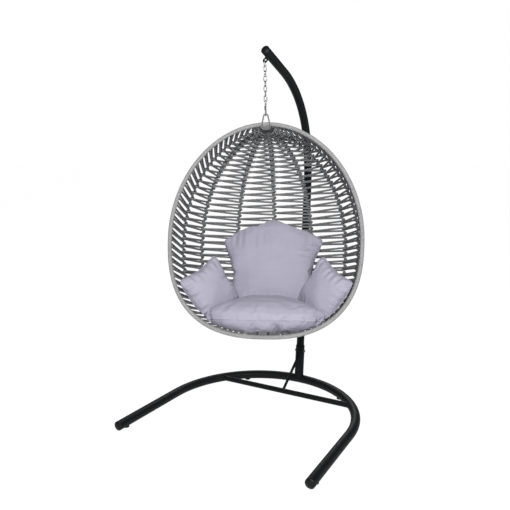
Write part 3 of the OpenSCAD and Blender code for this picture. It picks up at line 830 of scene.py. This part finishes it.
# Top of the back pillow: the shares of its half height between which it rises, the slope
# of its peak, and the height and width of its shoulders
TOP_FROM, TOP_TO = 0.7, 1.2
PEAK_SLOPE = 1.6
SHOULDER_HEIGHT, SHOULDER_WIDTH = 0.9, 0.85
BELLY_DOWN = 0.25
# Gathers: folds to a metre, their sharpness, and the shares of the half side at which they
# begin, are full, and fade towards the seam
FOLDS, FINE_FOLDS = 26.0, 58.0
FOLD_SHARPNESS, FINE_SHARE = 2.6, 0.5
FOLD_FROM, FOLD_FULL = 0.45, 0.86
FADE_FROM, FADE_TO, FADE = 0.98, 1.1, 0.5
DENTS, DENT_DEPTH, DENT_APART = 9.0, 0.008, 4.0
FACE_FROM_SEAM = 0.02
# Seat: how its front spreads, and its outline, gathers, dents and creases
SPREAD, SPREAD_OVER, LEAST_WIDTH = 0.17, 0.13, 0.02
SEAT_HALF = (0.31, 0.2)
SEAT_GATHERS, SEAT_SHARPNESS = 6.0, 2.4
GATHER_FROM, GATHER_FULL = 0.55, 0.95
SEAT_DENTS, SEAT_DENT_DEPTH = (7.0, 11.0), 0.007
CREASES, CREASE_BEND, CREASE_DEPTH, CREASE_SHARPNESS = (16.0, 30.0), 2.0, 0.0022, 3.0
TOP_BAND = 0.03
# Sewn edge: its height and half width, and the least share of a normal that lies in the
# seam's plane
WELT, WELT_WIDTH, WELT_NORMAL = 0.0032, 0.0028, 0.2
# Room that the covers leave to the ribs' centrelines
ROPE_SPACE = 0.016


def smooth_step(low, high, value):
    share = min(max((value - low) / (high - low), 0.0), 1.0)
    return share * share * (3 - 2 * share)


def wrinkle(x, y, z):
    return noise.noise(Vector((x, y, z)))


class Pillow:
    """A pillow in its own frame, its seam in the XY plane: its half sides, how far each
    corner is drawn out into an ear, the depth of the gathers along its seam, and how far
    its top rises and its sides swell"""

    def __init__(self, half, ears, reach, gathers, seed, apex=0.0, belly=0.0):
        self.half, self.ears, self.reach = half, ears, reach
        self.gathers, self.seed, self.apex, self.belly = gathers, seed, apex, belly

    def shape(self, p):
        across, along = abs(p.x) / self.half[0], abs(p.y) / self.half[1]
        self.draw_ears(p)
        self.raise_top(p, across, along)
        p.x *= 1.0 + self.belly * max(0.0, 1.0 - (p.y / self.half[1] + BELLY_DOWN) ** 2)
        self.gather(p, across, along)

    def draw_ears(self, p):
        """Draws the corners out and thins them"""
        for (x, y), (dx, dy) in self.ears:
            near = max(0.0, 1.0 - math.hypot(p.x - x, p.y - y) / self.reach) ** EAR_SHARPNESS
            p.x += dx * near
            p.y += dy * near
            p.z *= 1.0 - EAR_THINNING * near

    def raise_top(self, p, across, along):
        """Raises the top to a peak between two rounded shoulders"""
        if self.apex and p.y > 0:
            shoulders = SHOULDER_HEIGHT * math.sin(math.pi * min(across / SHOULDER_WIDTH, 1.0))
            roof = max(0.0, 1.0 - across * PEAK_SLOPE) + shoulders
            p.y += self.apex * smooth_step(TOP_FROM, TOP_TO, along) * roof

    def gather(self, p, across, along):
        """Folds the cloth along the seam and dents its two faces"""
        # Each side of the seam has a pattern of its own
        if across > along:
            place, side = p.y, 2.0 if p.x > 0 else 5.0
        else:
            place, side = p.x, 9.0 if p.y > 0 else 13.0
        ripple = wrinkle(place * FOLDS, side, self.seed)
        fine = wrinkle(place * FINE_FOLDS, side + 3.0, self.seed)
        fold = (1.0 - FOLD_SHARPNESS * abs(ripple)) + FINE_SHARE * fine
        edge = max(across, along)
        fade = 1.0 - FADE * smooth_step(FADE_FROM, FADE_TO, edge)
        strength = smooth_step(FOLD_FROM, FOLD_FULL, edge) * fade
        dents = wrinkle(p.x * DENTS, p.y * DENTS, self.seed + math.copysign(DENT_APART, p.z))
        up = math.copysign(1.0, p.z) * smooth_step(0.0, FACE_FROM_SEAM, abs(p.z))
        p.z += up * (self.gathers * strength * fold + DENT_DEPTH * dents)


class Seat:
    """The seat cushion in its own frame: its front corners fill the basket out to the rim"""

    def __init__(self, gathers, seed):
        self.gathers, self.seed = gathers, seed

    def shape(self, p):
        self.spread_front(p)
        edge = math.hypot(p.x / SEAT_HALF[0], p.y / SEAT_HALF[1])
        turn = math.atan2(p.y, p.x)
        ripple = wrinkle(math.cos(turn) * SEAT_GATHERS, math.sin(turn) * SEAT_GATHERS, self.seed)
        dents = wrinkle(p.x * SEAT_DENTS[0], p.y * SEAT_DENTS[1], self.seed + 3.0)
        creases = wrinkle(p.x * CREASES[0] + CREASE_BEND * dents, p.y * CREASES[1], self.seed)
        strength = self.gathers * smooth_step(GATHER_FROM, GATHER_FULL, edge)
        height = (strength * (1.0 - SEAT_SHARPNESS * abs(ripple)) + SEAT_DENT_DEPTH * dents
                  + CREASE_DEPTH * (1.0 - CREASE_SHARPNESS * abs(creases)))
        p.z += height * smooth_step(-TOP_BAND, TOP_BAND, p.z + TOP_BAND)

    def spread_front(self, p):
        """Widens the front as far as the rim leaves room"""
        s = sizes()
        forward = smooth_step(0.0, SPREAD_OVER, -p.y)
        p.x *= 1.0 + SPREAD * forward
        down = (s.rim_down - SEAT_SEAM_UP - p.z) / s.rim_down
        inner = s.rim_width * power(1 - power(down, RIM_POWER_DOWN), 1 / RIM_POWER_DOWN)
        limit = max(inner - s.rim_diameter, LEAST_WIDTH)
        if forward:
            p.x = min(max(p.x, -limit), limit)


def welt(p, normal):
    """Lifts the sewn edge of a cover out in the seam's plane"""
    outwards = Vector((normal.x, normal.y, 0))
    if outwards.length > WELT_NORMAL:
        p += outwards.normalized() * (WELT * math.exp(-(p.z / WELT_WIDTH) ** 2))


def keep_in_basket(p):
    """Presses a cover flat where it would reach through the ropes"""
    s = sizes()
    height = p.z + s.rim_up
    full, exponent = (s.rim_up, RIB_POWER_UP) if height > 0 else (s.rim_down, RIM_POWER_DOWN)
    share = min(abs(height) / (full - s.crown_in), 1.0)
    limit = s.rim_width * power(1.0 - share ** exponent, 1 / exponent) - ROPE_SPACE
    back = max(p.y - s.crown_back, 0.0)
    across, behind = abs(p.x) ** s.section_power, (back / s.depth_share) ** s.section_power
    reach = (across + behind) ** (1 / s.section_power)
    if reach > limit > 0:
        p.x *= limit / reach
        if back:
            p.y = s.crown_back + back * limit / reach


BACK_EARS = [((-0.240, 0.197), (-0.040, -0.002)), ((0.240, 0.197), (0.040, -0.002)),
             ((-0.205, -0.186), (-0.012, -0.012)), ((0.205, -0.186), (0.012, -0.012))]
BACK_HALF = (0.262, 0.205)
ARM_EARS = [((0.118, 0.118), (0.014, 0.014)), ((0.118, -0.118), (0.004, -0.004)),
            ((-0.118, 0.118), (-0.004, 0.004)), ((-0.118, -0.118), (-0.003, -0.003))]
ARM_HALF = (0.131, 0.131)
COVERS = (
    # node, piece, swell, share of the filling, frame, form
    ("seat_cushion", "seat_cover", 0.014, 0.7, seat_frame, Seat(gathers=0.005, seed=2.0)),
    ("back_pillow", "back_cover", 0.014, 0.65, back_frame,
     Pillow(BACK_HALF, BACK_EARS, reach=0.12, gathers=0.0065, seed=5.0, apex=0.022, belly=0.075)),
    ("arm_pillow_left", "arm_cover_left", 0.010, 0.6, left_arm_frame,
     Pillow(ARM_HALF, ARM_EARS, reach=0.08, gathers=0.0075, seed=8.0)),
    ("arm_pillow_right", "arm_cover_right", 0.010, 0.6, right_arm_frame,
     Pillow(ARM_HALF, ARM_EARS, reach=0.08, gathers=0.0075, seed=11.0)),
)


def make_cover(node, name, swell, fill, own_frame, form, cloth):
    """The padded cover of one cushion"""
    piece = remesh(closed_copy(node, name))
    inflate(piece, swell)
    place = basket_place() @ own_frame()
    reshape(piece, place, lambda p, normal: form.shape(p))
    subdivide = piece.modifiers.new("Subdivision", "SUBSURF")
    subdivide.levels = subdivide.render_levels = 1
    apply_modifiers(piece)
    reshape(piece, place, welt)
    if not isinstance(form, Seat):
        reshape(piece, basket_place(), lambda p, normal: keep_in_basket(p))
    piece.data.materials.clear()
    piece.data.materials.append(cloth)
    for polygon in piece.data.polygons:
        polygon.use_smooth = True
    finished(piece, "basket", "cushion_cloth", node)
    return piece


# ---- Operators ----

# Shares of the caps' black and the loop's grey
PAD_SHADE = 0.8
HUB_SHADE = 0.45


class EGGCHAIR_OT_Stage(bpy.types.Operator):
    """Adds the floor, the lamps, the surroundings and the camera"""
    bl_idname = "eggchair.stage"
    bl_label = "Stage"

    def execute(self, context):
        make_floor()
        make_lamps()
        make_surroundings()
        make_camera()
        context.scene.view_settings.view_transform = "Standard"
        return {"FINISHED"}


class EGGCHAIR_OT_Stand(bpy.types.Operator):
    """Finishes the stand's tubes, caps, pads and welds"""
    bl_idname = "eggchair.stand"
    bl_label = "Stand"

    def execute(self, context):
        coat = powder_coat()
        for node in ("base_tube", "cross_tube", "pole_socket", "socket_brace",
                     "lower_pole", "upper_pole", "hook_eye", "rim_hoop"):
            dress(node, coat)
        caps = moulded_plastic("moulded_caps", colours().cap_black, roughness=0.5)
        for node in ("foot_cap_left", "foot_cap_right", "pole_cap"):
            dress(node, caps)
        rubber = scaled(colours().cap_black, PAD_SHADE)
        dress("floor_pads", moulded_plastic("rubber_pads", rubber, roughness=0.75))
        beads = run_tree("weld_beads", weld_lines(), cord_tree(), closed=True, Diameter=BEAD,
                         Sides=BEAD_SIDES, Winding=BEAD_RIPPLE, Ridge=BEAD_RIDGE, Material=coat)
        finished(beads, "stand", "frame_black")
        return {"FINISHED"}


class EGGCHAIR_OT_Chain(bpy.types.Operator):
    """Finishes the chain, the connector, the bolts, the hanging loop and the hubs"""
    bl_idname = "eggchair.chain"
    bl_label = "Chain"

    def execute(self, context):
        zinc = plated_zinc()
        for node in NODES:
            if node.startswith(("chain_link", "quick_link", "pole_bolts", "pole_nuts")):
                dress(node, zinc)
        dress("hanging_loop", grey_paint("loop_paint", colours().loop_grey))
        paint = grey_paint("hub_paint", scaled(colours().loop_grey, HUB_SHADE))
        for node in ("top_hub", "bottom_hub"):
            dress(node, paint)
        return {"FINISHED"}


class EGGCHAIR_OT_Rim(bpy.types.Operator):
    """Winds the cord round the rim"""
    bl_idname = "eggchair.rim"
    bl_label = "Rim"

    def execute(self, context):
        s = sizes()
        rail = evenly(in_world(rim_rail()), s.winding / RIM_POINTS_TO_WINDING, closed=True)
        cord = cord_material("rim_cord", colours().rim_grey, plies=1, lay=CORD_LAY)
        rim = run_tree("wound_rim", [rail], cord_tree(), closed=True, Diameter=s.rim_diameter,
                       Sides=RIM_SIDES, Winding=s.winding, Ridge=RIM_RIDGE, Material=cord)
        finished(rim, "basket", "rim_wrap", "rim_wrap_left", "rim_wrap_right")
        return {"FINISHED"}


class EGGCHAIR_OT_Ribs(bpy.types.Operator):
    """Winds the cord round the ribs"""
    bl_idname = "eggchair.ribs"
    bl_label = "Ribs"

    def execute(self, context):
        s = sizes()
        cord = cord_material("rib_cord", colours().rope_grey, plies=1, lay=CORD_LAY)
        group = cord_tree()
        for k in range(1, RIBS + 1):
            rail = evenly(in_world(rib_rail(k)), s.winding / RIB_POINTS_TO_WINDING)
            rib = run_tree(f"wound_rib_{k}", [rail], group, Diameter=s.rib_diameter,
                           Sides=RIB_SIDES, Winding=s.winding, Ridge=RIB_RIDGE, Material=cord)
            finished(rib, "basket", "rib_wrap", f"rib_{k}")
        return {"FINISHED"}


class EGGCHAIR_OT_Weave(bpy.types.Operator):
    """Runs the rope of each panel from edge to edge, and the rings round the ribs' ends"""
    bl_idname = "eggchair.weave"
    bl_label = "Rope panels"

    def execute(self, context):
        s = sizes()
        rope = cord_material("basket_rope", colours().rope_grey, plies=ROPE_PLIES, lay=ROPE_LAY)
        group = cord_tree()
        table = RibLengths()
        for k in range(RIBS + 1):
            panel = run_tree(f"rope_panel_{k + 1}", [in_world(panel_rail(k, table))], group,
                             Diameter=s.rope_diameter, Sides=ROPE_SIDES, Material=rope)
            finished(panel, "basket", "rope", f"weave_{k + 1}")
        lengths = [s.ring_first + i * s.ring_pitch for i in range(RINGS)]
        lengths += [table.total() - length for length in lengths]
        rails = [in_world(ring_rail(length, math.pi * i, table)) for i, length in enumerate(lengths)]
        rings = run_tree("rope_rings", rails, group,
                         Diameter=s.rope_diameter, Sides=ROPE_SIDES, Material=rope)
        finished(rings, "basket", "rope")
        return {"FINISHED"}


class EGGCHAIR_OT_Cushions(bpy.types.Operator):
    """Makes the padded covers of the seat, the back and the two arms"""
    bl_idname = "eggchair.cushions"
    bl_label = "Cushions"

    def execute(self, context):
        cloth = cushion_cloth()
        for cover in COVERS:
            make_cover(*cover, cloth)
        return {"FINISHED"}


# ---- Stage ----

FLOOR_HALF = 30.0
FLOOR_COLOUR = (0.8, 0.8, 0.8, 1)
FLOOR_ROUGHNESS = 0.9
FLOOR_GLOW = 0.9
FLOOR_WHITE = 1.09
WHITE = (1, 1, 1, 1)
LAMP_TARGET = Vector((0, 0, 1.0))
LAMPS = (
    # name, azimuth from the front in degrees, height, distance, size, power
    ("key_lamp", 30.0, 2.9, 4.0, 1.2, 225.0),
    ("fill_lamp", 80.0, 2.0, 4.5, 3.0, 12.0),
    ("back_lamp", 205.0, 2.6, 4.0, 2.0, 75.0),
)
WORLD_COLOUR = (0.95, 0.97, 1.0, 1)
WORLD_STRENGTH = 0.165
CAMERA_PLACE = Vector((1.5617, -2.7120, 1.5040))
CAMERA_AZIMUTH = math.radians(30.62)
CAMERA_PITCH = math.radians(11.18)
CAMERA_ROLL = math.radians(-1.1)
CAMERA_SENSOR = 36.0
CAMERA_LENS = 42.35


def make_floor():
    """A wide pale floor that shows white, with the chair's soft shadow"""
    half = FLOOR_HALF
    corners = [(-half, -half, 0), (half, -half, 0), (half, half, 0), (-half, half, 0)]
    mesh = bpy.data.meshes.new("floor")
    mesh.from_pydata(corners, [], [(0, 1, 2, 3)])
    floor = bpy.data.objects.new("floor", mesh)
    bpy.context.scene.collection.objects.link(floor)
    m = Shader("pale_floor")
    m.finish(Base_Color=FLOOR_COLOUR, Roughness=FLOOR_ROUGHNESS)
    glow = m.node("ShaderNodeEmission", {"Color": WHITE, "Strength": FLOOR_WHITE})
    path = m.node("ShaderNodeLightPath")
    seen = m.math("MAXIMUM", path.outputs["Is Camera Ray"], path.outputs["Is Glossy Ray"])
    share = m.math("MULTIPLY", seen, FLOOR_GLOW)
    mixed = m.node("ShaderNodeMixShader", {0: share, 1: m.surface.outputs[0], 2: glow.outputs[0]})
    m.put(m.nodes["Material Output"].inputs["Surface"], mixed.outputs[0])
    mesh.materials.append(m.material)


def make_lamps():
    for name, azimuth, height, distance, width, watts in LAMPS:
        light = bpy.data.lights.new(name, "AREA")
        light.shape = "DISK"
        light.size = width
        light.energy = watts
        lamp = bpy.data.objects.new(name, light)
        a = math.radians(azimuth)
        lamp.location = (distance * math.sin(a), -distance * math.cos(a), height)
        lamp.rotation_euler = (LAMP_TARGET - lamp.location).to_track_quat("-Z", "Y").to_euler()
        bpy.context.scene.collection.objects.link(lamp)


def make_surroundings():
    """Even light from all round, which the camera sees as white"""
    world = bpy.data.worlds.new("studio")
    bpy.context.scene.world = world
    world.use_nodes = True
    w = NodeTools(world.node_tree)
    light = w.nodes["Background"]
    w.put(light.inputs["Color"], WORLD_COLOUR)
    w.put(light.inputs["Strength"], WORLD_STRENGTH)
    white = w.node("ShaderNodeBackground", {"Color": WHITE, "Strength": 1.0})
    seen = w.node("ShaderNodeLightPath").outputs["Is Camera Ray"]
    mixed = w.node("ShaderNodeMixShader", {0: seen, 1: light.outputs[0], 2: white.outputs[0]})
    w.put(w.nodes["World Output"].inputs["Surface"], mixed.outputs[0])


def make_camera():
    data = bpy.data.cameras.new("camera")
    data.sensor_width = data.sensor_height = CAMERA_SENSOR
    data.lens = CAMERA_LENS
    camera = bpy.data.objects.new("camera", data)
    camera.matrix_world = (
        Matrix.Translation(CAMERA_PLACE) @ Matrix.Rotation(CAMERA_AZIMUTH, 4, "Z")
        @ Matrix.Rotation(math.pi / 2 - CAMERA_PITCH, 4, "X") @ Matrix.Rotation(CAMERA_ROLL, 4, "Z"))
    bpy.context.scene.collection.objects.link(camera)
    bpy.context.scene.camera = camera


# ---- Panel and registration ----

OPERATORS = (
    EGGCHAIR_OT_Stage, EGGCHAIR_OT_Stand, EGGCHAIR_OT_Chain, EGGCHAIR_OT_Rim,
    EGGCHAIR_OT_Ribs, EGGCHAIR_OT_Weave, EGGCHAIR_OT_Cushions,
)


class EGGCHAIR_PT_Panel(bpy.types.Panel):
    """Lists the pieces of the egg chair"""
    bl_idname = "EGGCHAIR_PT_panel"
    bl_label = "Hanging Egg Chair"
    bl_space_type = "VIEW_3D"
    bl_region_type = "UI"
    bl_category = "Egg Chair"

    def draw(self, context):
        for group in (context.scene.eggchair_sizes, context.scene.eggchair_colours):
            box = self.layout.box()
            for name in group.__annotations__:
                box.prop(group, name)
        for operator in OPERATORS:
            self.layout.operator(operator.bl_idname)


CLASSES = (EGGCHAIR_BasketSizes, EGGCHAIR_Colours) + OPERATORS + (EGGCHAIR_PT_Panel,)


def register():
    for made in CLASSES:
        bpy.utils.register_class(made)
    bpy.types.Scene.eggchair_sizes = bpy.props.PointerProperty(type=EGGCHAIR_BasketSizes)
    bpy.types.Scene.eggchair_colours = bpy.props.PointerProperty(type=EGGCHAIR_Colours)


def unregister():
    del bpy.types.Scene.eggchair_colours
    del bpy.types.Scene.eggchair_sizes
    for made in reversed(CLASSES):
        bpy.utils.unregister_class(made)


def main():
    register()
    bpy.ops.eggchair.stage()
    bpy.ops.eggchair.stand()
    bpy.ops.eggchair.chain()
    bpy.ops.eggchair.rim()
    bpy.ops.eggchair.ribs()
    bpy.ops.eggchair.weave()
    bpy.ops.eggchair.cushions()


if __name__ == "__main__":
    main()
